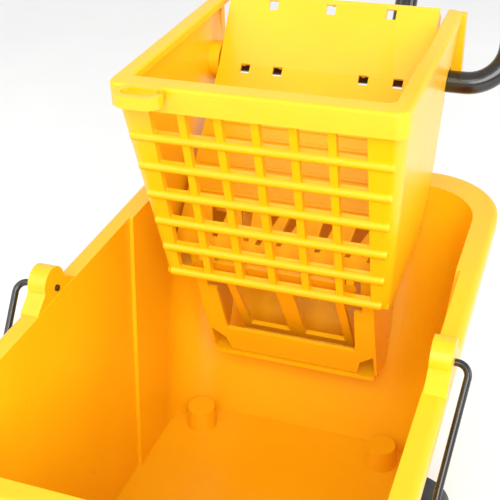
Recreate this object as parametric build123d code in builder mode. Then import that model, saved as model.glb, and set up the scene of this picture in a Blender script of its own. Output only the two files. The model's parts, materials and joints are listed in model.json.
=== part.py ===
"""Wheeled mop bucket with a side-press wringer: tub, bail, wringer, press linkage, lever and casters."""
from build123d import *
from math import atan2, cos, degrees, hypot, radians, sin, tan
import os

os.makedirs("parts", exist_ok=True)

# ------------------------------------------------------------------ driving dimensions (mm)
rim_z = 370.0            # top of the tub rim above the ground
wringer_y = -88.0

# Tub: lengths are measured back from the wringer's front line, heights from the rim.
rim_half_width = 190.0
rim_front, rim_back = -305.0, 270.0
rim_corner = 80.0
rim_height = 16.0
rim_edge_round = 6.0
lip_wall = 4.0
tub_wall = 4.0
tub_depth = 262.0
mouth_half_width, floor_half_width = 167.0, 142.0
mouth_front, floor_front = -285.0, -220.0
mouth_back, floor_back = 235.0, 107.0
mouth_corner, floor_corner = 62.0, 45.0
step_out = 4.0           # the front part of the tub is this much wider on each side
step_top, step_floor = 80.0, -8.0
ear_y, ear_thickness, ear_inner = -70.0, 18.0, 172.0
ear_crown_radius, ear_crown_z = 17.0, 13.0
bail_hole_y, bail_hole_z = -68.0, 8.0
bail_wire_radius, bail_hole_radius = 3.15, 3.22
socket_radius, socket_height = 17.0, 25.0

# Casters
caster_x, caster_rear_y, caster_front_y = 105.0, 78.0, -190.0
wheel_radius, wheel_width = 38.0, 28.0
caster_trail = 36.0
stem_radius, pin_radius = 5.45, 5.0
flange_radius, flange_height = 15.0, 3.0

# Bail
bail_shift = -5.0
bail_droop = 45.0        # angle below the horizontal at which the bail rests, pointing forward

# Wringer
wall_top, wall_bottom = 189.0, -32.0
top_half_width, bottom_half_width = 130.0, 113.0
shell_wall = 3.5
shell_corner = 12.0
grid_tilt = 11.0
grid_top = 166.6
grid_columns, grid_rows = 6, 6
grid_pitch_x, grid_pitch_s = 33.4, 32.8
grid_bar = 7.0
grid_depth = 7.0
rim_bar_depth, flange_depth = wall_top - grid_top, 8.0
wringer_back = 254.0
hook_x, hook_y, hook_z = -94.0, -19.0, 177.5
hook_length, hook_width, hook_bar, hook_height = 44.0, 27.0, 6.0, 11.0

# Shaft, lever and bearings
shaft_y, shaft_z = 217.0, 128.0
tube_radius, tube_bore = 11.0, 9.5
shaft_left, outer_bend_start = -129.0, 142.0
outer_bend_radius = 38.0
inner_leg_x = 71.5
lever_length = 440.0
lever_lean = 34.5        # the lever leans back this far from vertical at rest
bush_radius = 13.5
bush_clearance = 0.05
bearing_inner, bearing_outer = 111.0, 122.0
boss_radius = 19.0
slot_angle = 55.0        # the bush slots open backwards and down at this angle

# Press plate and its link frame
pivot_y, pivot_z = 49.0, -10.0
hinge_y, hinge_z = 127.0, -152.0
plate_half_width = 109.0
plate_skin = 3.5
plate_knee = (196.5, 131.0)
plate_crest = (239.0, 189.5)
plate_lip = (240.5, 193.0)
link_thickness = 5.0
knuckle_radius, rod_radius = 8.0, 2.95
tab_positions = (-54.0, -25.0, 25.0, 54.0)
tab_width = 5.5

# ------------------------------------------------------------------ reference planes
rim_plane = Plane(origin=(0, wringer_y, rim_z))
side_plane = Plane(origin=(0, wringer_y, rim_z), x_dir=(0, 1, 0), z_dir=(1, 0, 0))


def finish(block, label):
    """Label a finished piece and write its STEP file."""
    block.part.label = label
    export_step(block.part, f"parts/{label}.step")


def level_rectangle(height, half_width, front, back, corner):
    """Rounded rectangle at a height above the rim, between a front and a back line."""
    with BuildSketch(rim_plane.offset(height)) as outline:
        with Locations((0, (front + back) / 2)):
            RectangleRounded(2 * half_width, back - front, corner)
    return outline.sketch


def side_bar(outline, x_low, x_high, mode=Mode.ADD):
    """Extrude a closed outline of (back, up) points from one x to another."""
    with BuildSketch(side_plane.offset(x_low)) as profile:
        with BuildLine():
            Polyline(*outline, close=True)
        make_face()
    extrude(profile.sketch, amount=x_high - x_low, mode=mode)


def side_disc(y, z, radius, x_low, x_high, mode=Mode.ADD):
    """Extrude a disc centred at (y, z) of the side plane from one x to another."""
    with BuildSketch(side_plane.offset(x_low)) as profile:
        with Locations((y, z)):
            Circle(radius)
    extrude(profile.sketch, amount=x_high - x_low, mode=mode)


# ------------------------------------------------------------------ tub
def tub_loft(widen, skin, mode=Mode.ADD):
    """Tapered body of the tub; widen makes it broader, skin grows it to the outside."""
    mouth = level_rectangle(0, mouth_half_width + widen + skin, mouth_front - skin, mouth_back + skin,
                            mouth_corner + skin)
    floor = level_rectangle(-tub_depth - skin, floor_half_width + widen + skin, floor_front - skin,
                            floor_back + skin, floor_corner + skin)
    loft([mouth, floor], mode=mode)


step_angle = degrees(atan2(step_top - step_floor, tub_depth))
step_plane = Plane(
    origin=(0, wringer_y + step_top, rim_z),
    x_dir=(1, 0, 0),
    z_dir=(0, -cos(radians(step_angle)), sin(radians(step_angle))),
)

with BuildPart() as wide_front:
    tub_loft(step_out, tub_wall)
    split(bisect_by=step_plane, keep=Keep.TOP)

with BuildPart() as wide_hollow:
    tub_loft(step_out, 0)
    split(bisect_by=step_plane, keep=Keep.TOP)

caster_spots = [
    ("rear_left", -caster_x, caster_rear_y, 195.0),
    ("rear_right", caster_x, caster_rear_y, 5.0),
    ("front_left", -caster_x, caster_front_y, 100.0),
    ("front_right", caster_x, caster_front_y, 70.0),
]

with BuildPart() as bucket:
    # rim: a rolled band, open below between the lip and the wall
    extrude(level_rectangle(0, rim_half_width, rim_front, rim_back, rim_corner), amount=-rim_height)
    fillet(bucket.edges().group_by(Axis.Z)[-1], rim_edge_round)
    groove = level_rectangle(-rim_height, rim_half_width - lip_wall, rim_front + lip_wall,
                             rim_back - lip_wall, rim_corner - lip_wall)
    extrude(groove, amount=rim_height - rim_edge_round, mode=Mode.SUBTRACT)
    tub_loft(0, tub_wall)
    add(wide_front.part)
    # hollow
    tub_loft(0, 0, Mode.SUBTRACT)
    add(wide_hollow.part, mode=Mode.SUBTRACT)
    # caster sockets that stand up from the floor
    for _, x, y, _ in caster_spots:
        with BuildSketch(rim_plane.offset(-tub_depth)):
            with Locations((x, y)):
                Circle(socket_radius)
        extrude(amount=socket_height, taper=4)
    for _, x, y, _ in caster_spots:
        with BuildSketch(rim_plane.offset(-tub_depth - tub_wall)):
            with Locations((x, y)):
                Circle(stem_radius)
        extrude(amount=socket_height - 1, mode=Mode.SUBTRACT)
    # ears that carry the bail
    for side in (-1, 1):
        with BuildSketch(side_plane.offset(side * (ear_inner + ear_thickness / 2))):
            with Locations((ear_y, ear_crown_z)):
                Circle(ear_crown_radius)
            with BuildLine():
                Polyline((ear_y - 34, 0), (ear_y - 34, -3), (ear_y + 34, -3), (ear_y + 34, 0),
                         (ear_y + 16, ear_crown_z), (ear_y - 16, ear_crown_z), close=True)
            make_face()
        extrude(amount=ear_thickness / 2, both=True)
    with BuildSketch(side_plane):
        with Locations((bail_hole_y, bail_hole_z)):
            Circle(bail_hole_radius)
    extrude(amount=rim_half_width + 10, both=True, mode=Mode.SUBTRACT)
finish(bucket, "bucket")

# ------------------------------------------------------------------ bail
droop = radians(bail_droop)
bail_plane = Plane(
    origin=(bail_shift, wringer_y + bail_hole_y, rim_z + bail_hole_z),
    x_dir=(1, 0, 0),
    z_dir=(0, sin(droop), -cos(droop)),
)
bail_leg = [(208, 0), (199.8, 105), (199.8, 178), (172, 275), (112, 322)]
bail_radii = [10, 90, 160, 60, 60]
with BuildPart() as bail:
    with BuildLine(bail_plane) as bail_path:
        FilletPolyline(
            (170 - bail_shift, 0),
            *bail_leg,
            *[(-x, s) for x, s in reversed(bail_leg)],
            (-170 - bail_shift, 0),
            radius=bail_radii + bail_radii[::-1],
        )
    with BuildSketch(Plane(origin=bail_path.line @ 0, z_dir=bail_path.line % 0)):
        Circle(bail_wire_radius)
    sweep(path=bail_path.line)
finish(bail, "bail")


# ------------------------------------------------------------------ wringer frame
def grid_front(height):
    """How far back the outside of the grid stands at a height above the rim."""
    return (grid_top - height) * tan(radians(grid_tilt))


grid_plane = Plane(
    origin=(0, wringer_y, rim_z + grid_top),
    x_dir=(1, 0, 0),
    z_dir=(0, -cos(radians(grid_tilt)), -sin(radians(grid_tilt))),
)
wall_lean = (top_half_width - bottom_half_width) / (wall_top - wall_bottom)


def wall_x(height):
    """Half-width of the wringer's outside at a height above the rim."""
    return top_half_width - (wall_top - height) * wall_lean


front_view = Plane(origin=(0, wringer_y - 60, rim_z), x_dir=(1, 0, 0), z_dir=(0, -1, 0))


def tapered_block(skin, front_skin, top, bottom, rear):
    """Block between the wringer's leaning side walls and its tilted front, rounded at the corners."""
    with BuildPart() as block:
        with BuildSketch(front_view) as widths:
            with BuildLine():
                Polyline((wall_x(top) - skin, top), (skin - wall_x(top), top), (skin - wall_x(bottom), bottom),
                         (wall_x(bottom) - skin, bottom), close=True)
            make_face()
        extrude(widths.sketch, amount=-400)
        with BuildSketch(side_plane.offset(-150)) as depths:
            with BuildLine():
                Polyline((grid_front(top) + front_skin, top), (grid_front(bottom) + front_skin, bottom),
                         *rear, close=True)
            make_face()
        extrude(depths.sketch, amount=300, mode=Mode.INTERSECT)
        corners = block.edges().group_by(Axis.Y)[0:3]
        upright = [edge for group in corners for edge in group if edge.length > 0.9 * (top - bottom)]
        fillet(upright, shell_corner - skin)
    return block.part



# rear outline of the side walls, from the bottom up: rounded corner, straight edge, shaft notch, tab
wall_rear = [(150, wall_bottom), (172, -28), (190, -16), (203, 4), (211, 24), (213, 40), (213, 104),
             (236, 122), (250, 122), (wringer_back, wall_top - 2)]
chute_tilt = 16.4
chute_front = Plane(
    origin=(0, wringer_y + 57, rim_z - 22),
    x_dir=(1, 0, 0),
    z_dir=(0, -cos(radians(chute_tilt)), -sin(radians(chute_tilt))),
)
chute_half_width, chute_wall = 93.0, 3.0
chute_side = [(57, -22), (92, -141), (98, -160), (104, -165), (136, -165), (148, -152), (196, -48), (204, -28),
              (60, -28)]

# half-round level ribs that wrap on to the corners
with BuildPart() as grid_ribs:
    for row in range(1, grid_rows + 1):
        rib_z = grid_top - row * grid_pitch_s * cos(radians(grid_tilt))
        rib_end = wall_x(rib_z) - 6
        side_disc(grid_front(rib_z) + 0.8, rib_z, 4.3, -rib_end, rib_end)
    fillet(grid_ribs.edges().filter_by(GeomType.CIRCLE), 2.5)

# rolled top edge: a deep bar across the front and a level flange along each side
with BuildPart() as top_rail:
    for height, depth in ((grid_top, rim_bar_depth), (wall_top - flange_depth, flange_depth)):
        extrude(level_rectangle(height, top_half_width + 1, -8, wringer_back, shell_corner), amount=depth)
        extrude(level_rectangle(height, top_half_width - 15, 14, 330, 6), amount=depth, mode=Mode.SUBTRACT)
        if height == grid_top:
            split(bisect_by=Plane(origin=(0, wringer_y + 20, 0), z_dir=(0, -1, 0)), keep=Keep.TOP)
    fillet(top_rail.edges().group_by(Axis.Z)[-1], 3.4)

with BuildPart() as wringer_frame:
    add(tapered_block(0, 0, wall_top - 2, wall_bottom, wall_rear))
    add(tapered_block(shell_wall, grid_depth, wall_top + 6, wall_bottom - 6, [(330, -40), (330, 200)]),
        mode=Mode.SUBTRACT)
    # grid windows
    with BuildSketch(grid_plane):
        with Locations((0, -grid_pitch_s * grid_rows / 2)):
            with GridLocations(grid_pitch_x, grid_pitch_s, grid_columns, grid_rows):
                RectangleRounded(grid_pitch_x - grid_bar, grid_pitch_s - grid_bar, 1.5)
    extrude(amount=12, both=True, mode=Mode.SUBTRACT)
    add(grid_ribs.part)
    add(top_rail.part)
    # chute: front frame with two stepped legs, side plates, and a tray
    with BuildSketch(chute_front):
        with BuildLine():
            Polyline((-chute_half_width, 8), (chute_half_width, 8), (chute_half_width - 2, -112),
                     (chute_half_width - 18, -126), (chute_half_width - 22, -145),
                     (22 - chute_half_width, -145), (18 - chute_half_width, -126),
                     (2 - chute_half_width, -112), close=True)
        make_face()
        with BuildLine():
            Polyline((-82, 20), (82, 20), (82, -42), (73, -42), (71, -108), (-71, -108), (-73, -42),
                     (-82, -42), close=True)
        make_face(mode=Mode.SUBTRACT)
    extrude(amount=-4)
    for side in (-1, 1):
        side_bar(chute_side, side * (chute_half_width - chute_wall / 2) - chute_wall / 2,
                 side * (chute_half_width - chute_wall / 2) + chute_wall / 2)
        # shelf between the wall and the chute, and the rear tab's outward roll
        side_bar([(42, wall_bottom), (42, wall_bottom + 4), (165, wall_bottom + 4), (165, wall_bottom)],
                 min(side * 91, side * 112.5), max(side * 91, side * 112.5))
        side_bar([(242, 122), (245, wall_top - 2), (wringer_back, wall_top - 2), (252, 122)],
                 min(side * 123, side * 134), max(side * 123, side * 134))
    # tray with knuckle tabs
    side_bar([(96, -167), (96, -163), (137, -163), (137, -167)], -90, 90)
    for x in tab_positions:
        side_bar([(hinge_y - knuckle_radius, -164), (hinge_y - knuckle_radius, hinge_z),
                  (hinge_y + knuckle_radius, hinge_z), (hinge_y + knuckle_radius, -164)],
                 x - tab_width / 2, x + tab_width / 2)
        side_disc(hinge_y, hinge_z, knuckle_radius, x - tab_width / 2, x + tab_width / 2)
    side_disc(hinge_y, hinge_z, rod_radius, -60, 60, Mode.SUBTRACT)
    # rear cross wall and the two hangers over the tub's rim
    side_bar([(198, wall_bottom), (198, 26), (202, 26), (202, wall_bottom)], -113, 113)
    for x in (-75, 75):
        side_bar([(200, 0.6), (200, 7), (277, 7), (277, -24), (271, -24), (271, 0.6)], x - 20, x + 20)
        for gusset in (x - 20, x + 16):
            side_bar([(200, 6), (200, 24), (262, 6)], gusset, gusset + 4)
    # bearing bosses, then the open slots that the bushes drop into
    for side in (-1, 1):
        side_disc(shaft_y, shaft_z, boss_radius, min(side * bearing_inner, side * 124),
                  max(side * bearing_inner, side * 124))
    with BuildSketch(side_plane):
        with Locations((shaft_y, shaft_z)):
            Circle(bush_radius)
        with Locations(Location((shaft_y, shaft_z, 0), (0, 0, -slot_angle))):
            with Locations((20, 0)):
                Rectangle(40, 2 * bush_radius)
    extrude(amount=140, both=True, mode=Mode.SUBTRACT)
    # mop-handle hook at the front left corner
    with BuildSketch(rim_plane.offset(hook_z)):
        with Locations((hook_x, hook_y)):
            SlotOverall(hook_length, hook_width)
            SlotOverall(hook_length - 2 * hook_bar, hook_width - 2 * hook_bar, mode=Mode.SUBTRACT)
        with Locations((hook_x + hook_length / 2, hook_y + 4)):
            Rectangle(16, 9, mode=Mode.SUBTRACT)
    extrude(amount=hook_height)
finish(wringer_frame, "wringer_frame")


# ------------------------------------------------------------------ bushes and their retainers
for name, x_low, x_high in (
    ("left", -bearing_outer, -bearing_inner),
    ("right", bearing_inner, bearing_outer),
):
    with BuildPart() as bush:
        side_disc(shaft_y, shaft_z, bush_radius, x_low, x_high)
        side_disc(shaft_y, shaft_z, tube_radius + bush_clearance, x_low, x_high, Mode.SUBTRACT)
    finish(bush, f"shaft_bush_{name}")

    with BuildPart() as retainer:
        with BuildSketch(side_plane.offset(x_low)):
            with Locations(Location((shaft_y, shaft_z, 0), (0, 0, -slot_angle))):
                with Locations((11, 0)):
                    Rectangle(16, 2 * bush_radius)
            with Locations((shaft_y, shaft_z)):
                Circle(bush_radius, mode=Mode.SUBTRACT)
        extrude(amount=x_high - x_low)
    finish(retainer, f"bush_retainer_{name}")

# ------------------------------------------------------------------ lever
lean = radians(lever_lean)
lever_plane = Plane(
    origin=(0, wringer_y + shaft_y, rim_z + shaft_z),
    x_dir=(1, 0, 0),
    z_dir=(0, -cos(lean), sin(lean)),
)
outer_leg_x = outer_bend_start + outer_bend_radius
loop_radius = (outer_leg_x - inner_leg_x) / 2
leg_top = lever_length - loop_radius


def lever_run(radius, shaft_start, mode=Mode.ADD):
    """Sweep a disc along the shaft, up the outer leg, round the loop and down the inner leg."""
    with BuildLine(lever_plane) as path:
        Line((shaft_start, 0), (outer_bend_start, 0))
        CenterArc((outer_bend_start, outer_bend_radius), outer_bend_radius, -90, 90)
        Line((outer_leg_x, outer_bend_radius), (outer_leg_x, leg_top))
        CenterArc((outer_leg_x - loop_radius, leg_top), loop_radius, 0, 180)
    with BuildSketch(Plane(origin=path.line @ 0, z_dir=path.line % 0)) as section:
        Circle(radius)
    sweep(section.sketch, path=path.line, mode=mode)
    leg_plane = Plane(origin=lever_plane.from_local_coords((inner_leg_x, leg_top, 0)),
                      z_dir=-lever_plane.y_dir)
    with BuildSketch(leg_plane) as leg_section:
        Circle(radius)
    extrude(leg_section.sketch, amount=leg_top, mode=mode)


with BuildPart() as lever_hollow:
    lever_run(tube_bore, shaft_left - 1)

with BuildPart() as lever:
    lever_run(tube_radius, shaft_left)
    add(lever_hollow.part, mode=Mode.SUBTRACT)
finish(lever, "lever")

grip_radius, grip_leg = 15.0, 45.0
with BuildPart() as lever_grip:
    for radius, mode in ((grip_radius, Mode.ADD), (tube_radius, Mode.SUBTRACT)):
        with BuildLine(lever_plane) as grip_path:
            Line((outer_leg_x, leg_top - grip_leg), (outer_leg_x, leg_top))
            CenterArc((outer_leg_x - loop_radius, leg_top), loop_radius, 0, 180)
            Line((inner_leg_x, leg_top), (inner_leg_x, leg_top - grip_leg))
        with BuildSketch(Plane(origin=grip_path.line @ 0, z_dir=grip_path.line % 0)):
            Circle(radius)
        sweep(path=grip_path.line, mode=mode)
finish(lever_grip, "lever_grip")

with BuildPart() as shaft_plug:
    side_disc(shaft_y, shaft_z, tube_radius, shaft_left - 2.5, shaft_left)
    fillet(shaft_plug.edges().group_by(Axis.X)[0], 1.5)
    side_disc(shaft_y, shaft_z, tube_bore, shaft_left, shaft_left + 12)
finish(shaft_plug, "shaft_plug")

# ------------------------------------------------------------------ press plate
plate_foot = (pivot_y + 6, pivot_z + 6)
plate_run = [plate_foot, plate_knee, plate_crest, plate_lip]


def shifted(points, distance):
    """Copy a run of (back, up) points, moved square to its own line towards the rear."""
    moved = []
    for i, (y, z) in enumerate(points):
        before, after = points[max(i - 1, 0)], points[min(i + 1, len(points) - 1)]
        run_y, run_z = after[0] - before[0], after[1] - before[1]
        size = hypot(run_y, run_z)
        moved.append((y + distance * run_z / size, z - distance * run_y / size))
    return moved


def along_plate(distance, depth=0.0):
    """Point at a distance up the lower run of the plate and a depth behind its front."""
    run_y, run_z = plate_knee[0] - plate_foot[0], plate_knee[1] - plate_foot[1]
    size = hypot(run_y, run_z)
    return (plate_foot[0] + (distance * run_y + depth * run_z) / size,
            plate_foot[1] + (distance * run_z - depth * run_y) / size)


plate_angle = degrees(atan2(plate_knee[1] - plate_foot[1], plate_knee[0] - plate_foot[0]))
lower_plate = Plane(
    origin=(0, wringer_y + plate_foot[0], rim_z + plate_foot[1]),
    x_dir=(1, 0, 0),
    z_dir=(0, -sin(radians(plate_angle)), cos(radians(plate_angle))),
)
upper_angle = degrees(atan2(plate_crest[1] - plate_knee[1], plate_crest[0] - plate_knee[0]))
upper_plate = Plane(
    origin=(0, wringer_y + plate_knee[0], rim_z + plate_knee[1]),
    x_dir=(1, 0, 0),
    z_dir=(0, -sin(radians(upper_angle)), cos(radians(upper_angle))),
)
drain_slots = [(-69, 12, -70, 42, 9), (-36, 12, -42, 42, 6), (-24, 10, -14, 42, 6), (-3, 12, 8, 42, 6),
               (36, 12, 42, 42, 6), (66, 12, 76, 42, 7), (88, 10, 97, 36, 5)]
ridge_steps = [58 + 15 * i for i in range(8)]

with BuildPart() as press_plate:
    side_bar(plate_run + shifted(plate_run, plate_skin)[::-1], -plate_half_width, plate_half_width)
    # rolled side edges and the upright ribs behind
    for x, depth in ((-plate_half_width, 15), (plate_half_width - 3, 15), (-85, 6), (-45, 6), (0, 6), (42, 6)):
        side_bar(plate_run[:3] + shifted(plate_run[:3], depth)[::-1], x, x + 3)
    # level ridges across the lower front
    for step in ridge_steps:
        ridge = along_plate(step, 0.6)
        side_disc(*ridge, 2.4, 6 - plate_half_width, plate_half_width - 6)
    # lugs for the pivot pins
    for x in (-69, 63):
        side_disc(pivot_y, pivot_z, 6, x, x + 6)
        side_bar([(pivot_y - 3, pivot_z + 5), (pivot_y + 5, pivot_z - 3), along_plate(4, 9), along_plate(4, 1)],
                 x, x + 6)
    side_disc(pivot_y, pivot_z, rod_radius + 0.05, -plate_half_width, plate_half_width, Mode.SUBTRACT)
    # room for the shaft in the ribs
    side_disc(shaft_y, shaft_z, tube_radius + 2.5, -plate_half_width, plate_half_width, Mode.SUBTRACT)
    # square holes
    with BuildSketch(lower_plate):
        with Locations((-80, 193), (-45, 193), (45, 193), (80, 193)):
            Rectangle(10, 10)
    extrude(amount=12, both=True, mode=Mode.SUBTRACT)
    with BuildSketch(upper_plate):
        with Locations((-61, 66), (0, 66), (62, 66)):
            Rectangle(10, 10)
    extrude(amount=12, both=True, mode=Mode.SUBTRACT)
    # tapered drain slots that fan out from the foot
    for foot_x, foot_s, top_x, top_s, half in drain_slots:
        with BuildSketch(lower_plate):
            with BuildLine():
                Polyline((foot_x - 2.5, foot_s), (foot_x + 2.5, foot_s), (top_x + half, top_s),
                         (top_x - half, top_s), close=True)
            make_face()
        extrude(amount=12, both=True, mode=Mode.SUBTRACT)
finish(press_plate, "press_plate")

# ------------------------------------------------------------------ link frame below the plate
link_lean = atan2(hinge_y - pivot_y, pivot_z - hinge_z)
link_length = hypot(hinge_y - pivot_y, pivot_z - hinge_z)
link_plane = Plane(
    origin=(0, wringer_y + hinge_y, rim_z + hinge_z),
    x_dir=(1, 0, 0),
    z_dir=(0, -cos(link_lean), -sin(link_lean)),
)
knuckle_gap = 0.5
knuckle_edges = [-64.0, *[edge for x in tab_positions for edge in (x - tab_width / 2, x + tab_width / 2)], 64.0]

with BuildPart() as link_frame:
    with BuildSketch(link_plane):
        with BuildLine():
            Polyline((-62, 4), (62, 4), (62, link_length - 32), (70, link_length - 32), (78, link_length - 18),
                     (78, link_length + 2), (71, link_length + 2), (71, link_length - 8),
                     (-71, link_length - 8), (-71, link_length + 2), (-78, link_length + 2),
                     (-78, link_length - 18), (-70, link_length - 32), (-62, link_length - 32), close=True)
        make_face()
        with Locations((-31, 76), (31, 76)):
            Rectangle(44, 112, mode=Mode.SUBTRACT)
    extrude(amount=link_thickness / 2, both=True)
    fillet(link_frame.edges().filter_by(Axis((0, 0, 0), link_plane.z_dir)).filter_by(
        lambda edge: abs(edge.center().X) < 56 and edge.center().Z > rim_z - 60), 9)
    # lugs round the pivot pins
    for x in (-78, 71):
        side_disc(pivot_y, pivot_z, 6, x, x + 7)
    for x_low, x_high in zip(knuckle_edges[::2], knuckle_edges[1::2]):
        side_disc(hinge_y, hinge_z, knuckle_radius, x_low + knuckle_gap, x_high - knuckle_gap)
    for x in tab_positions:
        side_disc(hinge_y, hinge_z, knuckle_radius + 1, x - tab_width / 2 - knuckle_gap,
                  x + tab_width / 2 + knuckle_gap, Mode.SUBTRACT)
    side_disc(hinge_y, hinge_z, rod_radius + 0.05, -80, 80, Mode.SUBTRACT)
    side_disc(pivot_y, pivot_z, rod_radius, -80, 80, Mode.SUBTRACT)
finish(link_frame, "link_frame")

with BuildPart() as hinge_rod:
    side_disc(hinge_y, hinge_z, rod_radius, -66, 66)
finish(hinge_rod, "hinge_rod")

for name, x_low in (("left", -79.0), ("right", 61.0)):
    with BuildPart() as pivot_pin:
        side_disc(pivot_y, pivot_z, rod_radius, x_low, x_low + 18)
    finish(pivot_pin, f"pivot_pin_{name}")


# ------------------------------------------------------------------ casters
def caster(spot, x, y, heading):
    """One swivel caster: stem, hooded fork, wheel, tyre and axle, trailing towards its heading."""
    turn = radians(heading)
    ground = Plane(origin=(x, wringer_y + y, 0), x_dir=(cos(turn), sin(turn), 0), z_dir=(0, 0, 1))
    axle_line = Plane(
        origin=(x + caster_trail * cos(turn), wringer_y + y + caster_trail * sin(turn), wheel_radius),
        x_dir=(cos(turn), sin(turn), 0),
        z_dir=(sin(turn), -cos(turn), 0),
    )
    underside = rim_z - tub_depth - tub_wall
    hood_outer, hood_inner, hood_half, cheek_inner = 42.0, 39.5, 19.0, 15.0
    fork_top = underside - flange_height - 0.5

    def post(radius, low, high, mode=Mode.ADD):
        with BuildSketch(ground.offset(low)) as disc:
            Circle(radius)
        extrude(disc.sketch, amount=high - low, mode=mode)

    def roller(radius, half, mode=Mode.ADD):
        with BuildSketch(axle_line) as disc:
            Circle(radius)
        extrude(disc.sketch, amount=half, both=True, mode=mode)

    with BuildPart() as stem:
        post(stem_radius, underside, underside + socket_height - 2)
        post(flange_radius, underside - flange_height, underside)
        post(pin_radius, fork_top - 16, underside - flange_height)
    finish(stem, f"caster_stem_{spot}")

    with BuildPart() as fork:
        roller(hood_outer, hood_half)
        post(17, 55, fork_top)
        roller(hood_inner, cheek_inner, Mode.SUBTRACT)
        with BuildSketch(axle_line):
            with Locations((0, -31)):
                Rectangle(100, 40)
            with Locations((0, -42)):
                Rectangle(100, 60)
        extrude(amount=30, both=True, mode=Mode.SUBTRACT)
        post(pin_radius + 0.05, fork_top - 17, fork_top, Mode.SUBTRACT)
        roller(4, 22, Mode.SUBTRACT)
    finish(fork, f"caster_fork_{spot}")

    with BuildPart() as axle:
        roller(4, 19)
        with BuildSketch(axle_line.offset(19), axle_line.offset(-21.5)):
            Circle(6.5)
        extrude(amount=2.5)
    finish(axle, f"caster_axle_{spot}")

    with BuildPart() as wheel:
        roller(27, 12)
        roller(10, 14.4)
        roller(4.05, 16, Mode.SUBTRACT)
    finish(wheel, f"caster_wheel_{spot}")

    with BuildPart() as tyre:
        roller(wheel_radius, wheel_width / 2)
        fillet(tyre.edges().filter_by(GeomType.CIRCLE), 5)
        roller(27, 16, Mode.SUBTRACT)
    finish(tyre, f"caster_tyre_{spot}")


for spot, x, y, heading in caster_spots:
    caster(spot, x, y, heading)
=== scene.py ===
"""Mop bucket with a side-press wringer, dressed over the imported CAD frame."""

import json
from math import cos, radians, sin

import bmesh
import bpy
from mathutils import Matrix, Vector


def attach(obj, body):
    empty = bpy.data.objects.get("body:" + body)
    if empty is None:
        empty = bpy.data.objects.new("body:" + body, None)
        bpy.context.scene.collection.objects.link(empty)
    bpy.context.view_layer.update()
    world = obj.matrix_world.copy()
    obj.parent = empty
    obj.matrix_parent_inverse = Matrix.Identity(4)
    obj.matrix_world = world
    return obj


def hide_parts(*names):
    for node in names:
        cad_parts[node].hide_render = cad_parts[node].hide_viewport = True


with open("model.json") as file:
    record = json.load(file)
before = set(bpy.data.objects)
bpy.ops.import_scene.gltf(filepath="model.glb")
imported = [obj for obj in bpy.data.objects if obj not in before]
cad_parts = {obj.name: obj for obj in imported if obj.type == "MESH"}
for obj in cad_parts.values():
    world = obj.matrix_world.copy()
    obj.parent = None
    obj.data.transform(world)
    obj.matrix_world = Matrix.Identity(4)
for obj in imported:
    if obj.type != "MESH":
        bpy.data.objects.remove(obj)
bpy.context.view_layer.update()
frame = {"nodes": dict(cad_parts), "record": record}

# ------------------------------------------------------------------ dimensions (metres)
rim_z = 0.370
wringer_y = -0.088
weld = 2e-5

body_of_node = {
    node: body for body, nodes in frame["record"]["behaviour"]["bodies"].items() for node in nodes
}
slot_of_node = {part["node"]: part["material_slot"] for part in frame["record"]["subparts"]}


# ------------------------------------------------------------------ materials
class Shader:
    """Small wrapper that adds and links nodes in one material."""

    def __init__(self, name):
        self.material = bpy.data.materials.new(name)
        self.material.use_nodes = True
        self.tree = self.material.node_tree
        self.surface = self.tree.nodes["Principled BSDF"]
        self.place = self.add("ShaderNodeTexCoord").outputs["Object"]

    def add(self, kind, **values):
        node = self.tree.nodes.new(kind)
        for key, value in values.items():
            if hasattr(node, key):
                setattr(node, key, value)
            else:
                node.inputs[key.replace("_", " ")].default_value = value
        return node

    def link(self, source, target):
        self.tree.links.new(source, target)

    def set(self, **values):
        for key, value in values.items():
            self.surface.inputs[key.replace("_", " ")].default_value = value

    def noise(self, scale, detail=4.0, rough=0.55, stretch=None):
        texture = self.add("ShaderNodeTexNoise", Scale=scale, Detail=detail, Roughness=rough)
        if stretch:
            mapping = self.add("ShaderNodeMapping", Scale=stretch)
            self.link(self.place, mapping.inputs["Vector"])
            self.link(mapping.outputs["Vector"], texture.inputs["Vector"])
        else:
            self.link(self.place, texture.inputs["Vector"])
        return texture.outputs["Fac"]

    def colours(self, source, low, high, start=0.35, end=0.65):
        ramp = self.add("ShaderNodeValToRGB")
        ramp.color_ramp.elements[0].position = start
        ramp.color_ramp.elements[1].position = end
        ramp.color_ramp.elements[0].color = (*low, 1)
        ramp.color_ramp.elements[1].color = (*high, 1)
        self.link(source, ramp.inputs["Fac"])
        self.link(ramp.outputs["Color"], self.surface.inputs["Base Color"])
        return ramp

    def roughness(self, source, low, high):
        span = self.add("ShaderNodeMapRange")
        span.inputs["To Min"].default_value = low
        span.inputs["To Max"].default_value = high
        self.link(source, span.inputs["Value"])
        self.link(span.outputs["Result"], self.surface.inputs["Roughness"])

    def bump(self, *layers):
        normal = None
        for source, strength, distance in layers:
            node = self.add("ShaderNodeBump", Strength=strength, Distance=distance)
            self.link(source, node.inputs["Height"])
            if normal:
                self.link(normal, node.inputs["Normal"])
            normal = node.outputs["Normal"]
        self.link(normal, self.surface.inputs["Normal"])


def tub_plastic():
    s = Shader("tub_plastic")
    s.colours(s.noise(6.0), (0.93, 0.485, 0.003), (0.97, 0.535, 0.005))
    s.roughness(s.noise(38.0, 6.0), 0.24, 0.36)
    s.bump((s.noise(24.0, 2.0), 0.10, 0.002), (s.noise(1400.0, 2.0), 0.05, 0.0002))
    s.set(IOR=1.49, Subsurface_Weight=0.12, Subsurface_Scale=0.006, Coat_Weight=0.03, Coat_Roughness=0.15)
    s.surface.inputs["Subsurface Radius"].default_value = (1.0, 0.55, 0.08)
    return s.material


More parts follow.
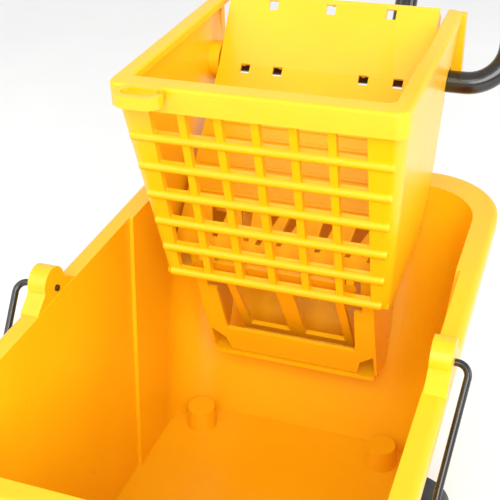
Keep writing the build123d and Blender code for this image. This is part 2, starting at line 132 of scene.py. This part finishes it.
def black_gloss(name, rough_low, rough_high, peel):
    s = Shader(name)
    s.colours(s.noise(55.0), (0.0065, 0.0065, 0.0075), (0.013, 0.013, 0.014))
    s.roughness(s.noise(120.0, 5.0), rough_low, rough_high)
    s.bump((s.noise(peel, 1.0), 0.12, 0.0004), (s.noise(2600.0, 2.0), 0.04, 0.0001))
    s.set(IOR=1.5, Coat_Weight=0.35, Coat_Roughness=0.08)
    return s.material


def grip_rubber():
    s = Shader("grip_rubber")
    s.colours(s.noise(900.0, 3.0), (0.010, 0.010, 0.011), (0.028, 0.028, 0.030))
    s.roughness(s.noise(300.0), 0.62, 0.85)
    s.bump((s.noise(1500.0, 3.0), 0.55, 0.0006))
    s.set(IOR=1.45, Sheen_Weight=0.15)
    return s.material


def matte_plastic(name, low, high, rough_low, rough_high, grain):
    s = Shader(name)
    s.colours(s.noise(60.0), low, high)
    s.roughness(s.noise(220.0), rough_low, rough_high)
    s.bump((s.noise(grain, 3.0), 0.22, 0.0003), (s.noise(30.0, 1.0), 0.05, 0.001))
    s.set(IOR=1.48)
    return s.material


def pin_steel():
    s = Shader("pin_steel")
    s.colours(s.noise(90.0), (0.50, 0.50, 0.49), (0.66, 0.66, 0.68))
    s.roughness(s.noise(160.0, 5.0, stretch=(1.0, 14.0, 14.0)), 0.22, 0.42)
    s.bump((s.noise(500.0, 3.0, stretch=(1.0, 20.0, 20.0)), 0.10, 0.0002))
    s.set(Metallic=1.0, Anisotropic=0.3)
    return s.material


def tyre_grey():
    s = Shader("tyre_grey")
    s.colours(s.noise(35.0, 6.0), (0.020, 0.020, 0.021), (0.060, 0.060, 0.062))
    s.roughness(s.noise(90.0, 6.0), 0.50, 0.80)
    s.bump((s.noise(700.0, 4.0), 0.25, 0.0004))
    s.set(IOR=1.5)
    return s.material


finishes = {
    "tub_plastic": tub_plastic(),
    "black_wire": black_gloss("black_wire", 0.22, 0.34, 260.0),
    "black_tube": black_gloss("black_tube", 0.12, 0.22, 420.0),
    "grip_rubber": grip_rubber(),
    "bush_nylon": matte_plastic("bush_nylon", (0.70, 0.68, 0.61), (0.82, 0.80, 0.74), 0.35, 0.5, 900.0),
    "pin_steel": pin_steel(),
    "caster_black": matte_plastic("caster_black", (0.012, 0.013, 0.014), (0.024, 0.025, 0.027), 0.32, 0.5, 700.0),
    "wheel_grey": matte_plastic("wheel_grey", (0.10, 0.10, 0.105), (0.17, 0.17, 0.175), 0.38, 0.55, 800.0),
    "tyre_grey": tyre_grey(),
}


# ------------------------------------------------------------------ pieces over the CAD nodes
def skin(node, width, segments=3, sharp=28.0):
    """Copy of a CAD node's mesh with welded faces, rounded edges and its procedural finish."""
    source = frame["nodes"][node]
    mesh = source.data.copy()
    piece = bpy.data.objects.new(f"{node}_skin", mesh)
    piece.matrix_world = source.matrix_world.copy()
    bpy.context.scene.collection.objects.link(piece)
    work = bmesh.new()
    work.from_mesh(mesh)
    bmesh.ops.remove_doubles(work, verts=work.verts, dist=weld)
    bmesh.ops.dissolve_limit(work, angle_limit=radians(0.4), verts=work.verts, edges=work.edges)
    for face in work.faces:
        face.smooth = True
    work.to_mesh(mesh)
    work.free()
    mesh.set_sharp_from_angle(angle=radians(sharp))
    mesh.materials.clear()
    mesh.materials.append(finishes[slot_of_node[node]])
    if width:
        rounding = piece.modifiers.new("rounding", "BEVEL")
        rounding.width = width
        rounding.segments = segments
        rounding.limit_method = "ANGLE"
        rounding.angle_limit = radians(sharp)
        rounding.harden_normals = True
        rounding.use_clamp_overlap = True
    levelled = piece.modifiers.new("levelled", "WEIGHTED_NORMAL")
    levelled.keep_sharp = True
    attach(piece, body_of_node[node])
    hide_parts(node)
    return piece


rounding_width = {"bucket": 0.0012, "wringer_frame": 0.0008, "press_plate": 0.0007, "link_frame": 0.0012}
for node in frame["nodes"]:
    skin(node, rounding_width.get(node, 0.0004))


# ------------------------------------------------------------------ floor, light and camera
def stage_floor():
    mesh = bpy.data.meshes.new("floor")
    edge = 8.0
    mesh.from_pydata([(-edge, -edge, 0), (edge, -edge, 0), (edge, edge, 0), (-edge, edge, 0)], [], [(0, 1, 2, 3)])
    floor = bpy.data.objects.new("floor", mesh)
    bpy.context.scene.collection.objects.link(floor)
    s = Shader("floor")
    s.colours(s.noise(3.0), (0.86, 0.86, 0.86), (0.89, 0.89, 0.89))
    s.roughness(s.noise(20.0), 0.6, 0.75)
    mesh.materials.append(s.material)


def soft_light(name, place, target, size, power, colour=(1, 1, 1)):
    data = bpy.data.lights.new(name, "AREA")
    data.shape = "RECTANGLE"
    data.size, data.size_y = size
    data.energy = power
    data.color = colour
    lamp = bpy.data.objects.new(name, data)
    lamp.location = place
    lamp.rotation_mode = "QUATERNION"
    lamp.rotation_quaternion = (Vector(target) - Vector(place)).to_track_quat("-Z", "Y")
    bpy.context.scene.collection.objects.link(lamp)


bpy.context.scene.view_settings.view_transform = "Standard"
stage_floor()
soft_light("key", (0.8, -2.2, 1.9), (0, 0, 0.35), (1.8, 1.8), 66.0, (1.0, 0.985, 0.965))
soft_light("side", (2.2, 0.2, 1.3), (0, 0, 0.4), (1.4, 1.4), 20.0)
soft_light("fill", (-1.6, -1.5, 1.8), (0, 0, 0.4), (2.0, 2.0), 20.0)
world = bpy.data.worlds.new("studio")
bpy.context.scene.world = world
world.use_nodes = True
world.node_tree.nodes["Background"].inputs["Color"].default_value = (1, 1, 1, 1)
world.node_tree.nodes["Background"].inputs["Strength"].default_value = 0.82

# The camera looks down over the front right, turned to the left and slightly rolled.
yaw, pitch, roll = radians(21.01), radians(31.97), radians(-2.28)
forward = Vector((-sin(yaw) * cos(pitch), cos(yaw) * cos(pitch), -sin(pitch)))
level = Vector((cos(yaw), sin(yaw), 0))
upward = level.cross(forward)
across = cos(roll) * level + sin(roll) * upward
tilted = cos(roll) * upward - sin(roll) * level
camera = bpy.data.objects.new("camera", bpy.data.cameras.new("camera"))
camera.data.sensor_width = 36.0
camera.data.lens = 69.64
turn = Matrix((across, tilted, -forward)).transposed()
camera.matrix_world = Matrix.Translation((0.2576, wringer_y - 0.6905, rim_z + 0.4991)) @ turn.to_4x4()
bpy.context.scene.collection.objects.link(camera)
bpy.context.scene.camera = camera
